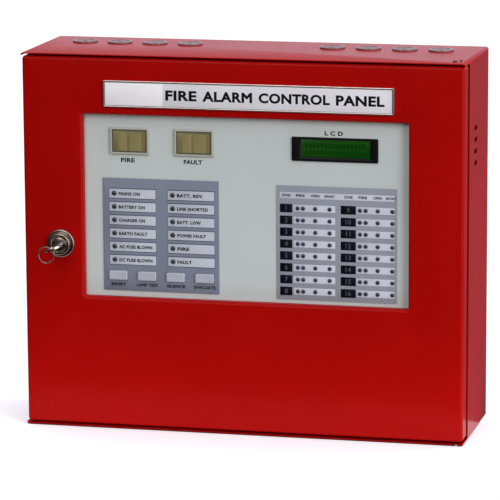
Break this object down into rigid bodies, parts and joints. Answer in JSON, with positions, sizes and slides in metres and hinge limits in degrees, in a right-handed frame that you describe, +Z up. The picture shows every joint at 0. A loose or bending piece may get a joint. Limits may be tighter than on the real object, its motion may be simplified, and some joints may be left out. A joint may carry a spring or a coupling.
{
  "type": "fire alarm control panel",
  "caption": "Wall-hung red steel case with a keyed hinged door, windowed facia with lamps, display and push buttons, boards and batteries inside.",
  "frame": {"origin": "centre of the case's back face, on the wall plane", "axes": "+Y into the wall, so the door faces -Y; +X to the right of a person who faces the door; +Z up"},
  "size_m": [0.44, 0.166, 0.374],
  "materials": {
    "red_paint": "baked red enamel, semi-gloss",
    "zinc": "zinc plated, satin",
    "chrome": "bright chrome plate",
    "brass": "machined, slightly dulled",
    "entry_rubber": "moulded dark brown rubber",
    "facia_plastic": "printed light grey facia, fine texture",
    "status_print": "printed blue-grey overlay",
    "zone_print": "printed grey overlay",
    "white_plastic": "moulded white, satin",
    "black_plastic": "moulded black",
    "lens": "smoky amber lens",
    "lcd": "yellow-green display glass",
    "board_green": "green solder mask",
    "terminal_green": "moulded green",
    "core_steel": "varnished steel laminations",
    "winding_tape": "yellow polyester tape",
    "battery_case": "moulded black battery case",
    "cable_grey": "grey cable sleeve",
    "trim_aluminium": "satin anodised"
  },
  "bodies": {
    "case": {"case_wrapper": "red_paint", "case_back": "red_paint", "latch_strip": "red_paint", "hinge_pin_top": "zinc", "hinge_pin_bottom": "zinc", "battery_bracket": "zinc", "entry_plug_1": "entry_rubber", "entry_plug_2": "entry_rubber", "entry_plug_3": "entry_rubber", "entry_plug_4": "entry_rubber", "entry_plug_5": "entry_rubber", "entry_plug_6": "entry_rubber", "entry_plug_7": "entry_rubber", "entry_plug_8": "entry_rubber", "board_standoff_1": "brass", "board_standoff_2": "brass", "board_standoff_3": "brass", "board_standoff_4": "brass", "main_board": "board_green", "zone_terminal_block": "terminal_green", "output_terminal_block": "terminal_green", "mains_terminal_block": "white_plastic", "transformer_core": "core_steel", "transformer_winding": "winding_tape", "battery_1": "battery_case", "battery_2": "battery_case", "earth_stud": "brass", "loom_case_side": "cable_grey"},
    "door": {"door_panel": "red_paint", "nameplate_trim": "trim_aluminium", "nameplate": "white_plastic", "facia_plate": "facia_plastic", "status_overlay": "status_print", "zone_overlay": "zone_print", "display_board": "board_green", "facia_stud_1": "zinc", "facia_stud_2": "zinc", "facia_stud_3": "zinc", "facia_stud_4": "zinc", "fire_lamp_bezel": "white_plastic", "fire_lamp_lens": "lens", "fault_lamp_bezel": "white_plastic", "fault_lamp_lens": "lens", "lcd_bezel": "black_plastic", "lcd_module": "lcd", "sounder": "black_plastic", "lock_barrel": "chrome", "lock_nut": "zinc", "loom_door_side": "cable_grey"},
    "lock": {"lock_plug": "chrome", "lock_cam": "zinc", "cam_nut": "zinc", "key": "chrome"},
    "key_ring": {"key_ring": "chrome"},
    "button_1": {"push_button_1": "white_plastic"},
    "button_2": {"push_button_2": "white_plastic"},
    "button_3": {"push_button_3": "white_plastic"},
    "button_4": {"push_button_4": "white_plastic"}
  },
  "joints": [
    {"name": "door_hinge", "type": "hinge", "parent": "case", "child": "door", "pos_m": [0.2075, -0.117, 0], "axis": [0, 0, 1], "range_deg": [0, 120]},
    {"name": "lock_turn", "type": "hinge", "parent": "door", "child": "lock", "pos_m": [-0.182, -0.102, -0.002], "axis": [0, 1, 0], "range_deg": [-70, 20]},
    {"name": "key_ring_swing", "type": "hinge", "parent": "lock", "child": "key_ring", "pos_m": [-0.18769, -0.1605, -0.00407], "axis": [0, 1, 0], "range_deg": [-40, 40]},
    {"name": "button_1_press", "type": "slide", "parent": "door", "child": "button_1", "axis": [0, 1, 0], "range_m": [0, 0.0012], "stiffness_N_per_m": 300},
    {"name": "button_2_press", "type": "slide", "parent": "door", "child": "button_2", "axis": [0, 1, 0], "range_m": [0, 0.0012], "stiffness_N_per_m": 300},
    {"name": "button_3_press", "type": "slide", "parent": "door", "child": "button_3", "axis": [0, 1, 0], "range_m": [0, 0.0012], "stiffness_N_per_m": 300},
    {"name": "button_4_press", "type": "slide", "parent": "door", "child": "button_4", "axis": [0, 1, 0], "range_m": [0, 0.0012], "stiffness_N_per_m": 300}
  ]
}
